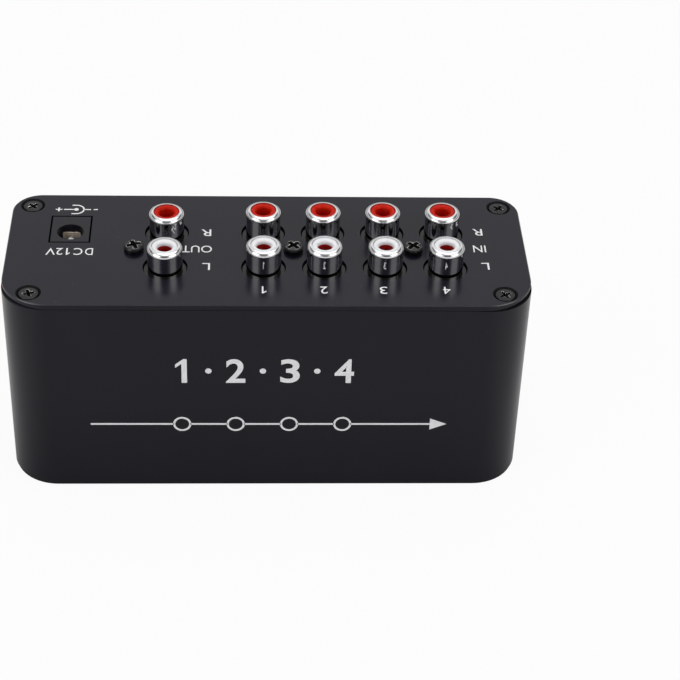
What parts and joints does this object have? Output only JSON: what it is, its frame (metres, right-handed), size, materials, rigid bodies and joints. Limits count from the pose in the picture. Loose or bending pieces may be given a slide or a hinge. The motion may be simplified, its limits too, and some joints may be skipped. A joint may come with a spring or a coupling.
{
  "type": "audio switch box",
  "caption": "Black aluminium stereo source selector box with phono jacks and a power inlet on its rear plate, relays inside and a select button on the front.",
  "frame": {"origin": "middle of the case's outline on the outer face of the front plate, which the box stands on", "axes": "+X along the case's width with the power inlet on the -X side, +Y towards the underside that carries the feet, +Z out of the jack plate"},
  "size_m": [0.122, 0.047, 0.0606],
  "materials": {
    "black_aluminium": "satin black anodised",
    "black_screws": "black oxide",
    "rubber": "matte black",
    "black_plastic": "moulded black",
    "dark_red_plastic": "moulded dark red",
    "brass": "plain",
    "tin_plate": "tinned",
    "board": "green solder mask",
    "relay_cover": "smooth dark moulding",
    "copper_wire": "enamelled copper winding",
    "iron": "zinc plated",
    "capacitor_sleeve": "shrink sleeve",
    "light_lens": "clear lens",
    "window_red": "dark red filter",
    "button_grey": "moulded dark grey",
    "nickel": "bright nickel",
    "red_plastic": "gloss red",
    "white_plastic": "gloss white"
  },
  "bodies": {
    "case": {"case_sleeve": "black_aluminium", "rear_plate": "black_aluminium", "front_plate": "black_aluminium", "rear_plate_screws": "black_screws", "front_plate_screws": "black_screws", "jack_block_screws": "black_screws", "feet": "rubber", "input_jack_block": "black_plastic", "output_jack_block": "black_plastic", "inlet_body": "black_plastic", "board_header": "black_plastic", "controller_chip": "black_plastic", "voltage_regulator": "black_plastic", "ir_receiver": "black_plastic", "select_switch": "black_plastic", "relay_bases": "black_plastic", "jack_cores": "dark_red_plastic", "jack_contacts": "brass", "inlet_terminal": "brass", "header_pins": "brass", "input_ground_plate": "tin_plate", "output_ground_plate": "tin_plate", "inlet_pin": "tin_plate", "relay_pins": "tin_plate", "relay_contact_posts": "tin_plate", "main_board": "board", "control_board": "board", "relay_covers": "relay_cover", "relay_coils": "copper_wire", "relay_yokes": "iron", "filter_capacitors": "capacitor_sleeve", "indicator_lights": "light_lens", "ir_window": "window_red", "output_right_shell": "nickel", "output_left_shell": "nickel", "input_1_right_shell": "nickel", "input_1_left_shell": "nickel", "input_2_right_shell": "nickel", "input_2_left_shell": "nickel", "input_3_right_shell": "nickel", "input_3_left_shell": "nickel", "input_4_right_shell": "nickel", "input_4_left_shell": "nickel", "output_right_ring": "red_plastic", "input_1_right_ring": "red_plastic", "input_2_right_ring": "red_plastic", "input_3_right_ring": "red_plastic", "input_4_right_ring": "red_plastic", "output_left_ring": "white_plastic", "input_1_left_ring": "white_plastic", "input_2_left_ring": "white_plastic", "input_3_left_ring": "white_plastic", "input_4_left_ring": "white_plastic"},
    "select_button": {"select_button": "button_grey", "switch_plunger": "button_grey"},
    "inlet_leaf": {"inlet_leaf": "brass"},
    "relay_1_armature": {"relay_1_armature": "iron"},
    "relay_2_armature": {"relay_2_armature": "iron"},
    "relay_3_armature": {"relay_3_armature": "iron"},
    "relay_4_armature": {"relay_4_armature": "iron"}
  },
  "joints": [
    {"name": "select_button_press", "type": "slide", "parent": "case", "child": "select_button", "axis": [0, 0, 1], "range_m": [0, 0.0003], "stiffness_N_per_m": 150},
    {"name": "inlet_leaf_flex", "type": "hinge", "parent": "case", "child": "inlet_leaf", "pos_m": [-0.0465, 0.0093, 0.04462], "axis": [-1, 0, 0], "range_deg": [0, 3.5], "stiffness_Nm_per_rad": 0.001},
    {"name": "relay_1_pull", "type": "hinge", "parent": "case", "child": "relay_1_armature", "pos_m": [-0.001, 0.00445, 0.03065], "axis": [-1, 0, 0], "range_deg": [0, 3.5], "stiffness_Nm_per_rad": 0.002, "springref_deg": -1.15},
    {"name": "relay_2_pull", "type": "hinge", "parent": "case", "child": "relay_2_armature", "pos_m": [0.0131, 0.00445, 0.03065], "axis": [-1, 0, 0], "range_deg": [0, 3.5], "stiffness_Nm_per_rad": 0.002, "springref_deg": -1.15},
    {"name": "relay_3_pull", "type": "hinge", "parent": "case", "child": "relay_3_armature", "pos_m": [0.0272, 0.00445, 0.03065], "axis": [-1, 0, 0], "range_deg": [0, 3.5], "stiffness_Nm_per_rad": 0.002, "springref_deg": -1.15},
    {"name": "relay_4_pull", "type": "hinge", "parent": "case", "child": "relay_4_armature", "pos_m": [0.0413, 0.00445, 0.03065], "axis": [-1, 0, 0], "range_deg": [0, 3.5], "stiffness_Nm_per_rad": 0.002, "springref_deg": -1.15}
  ]
}
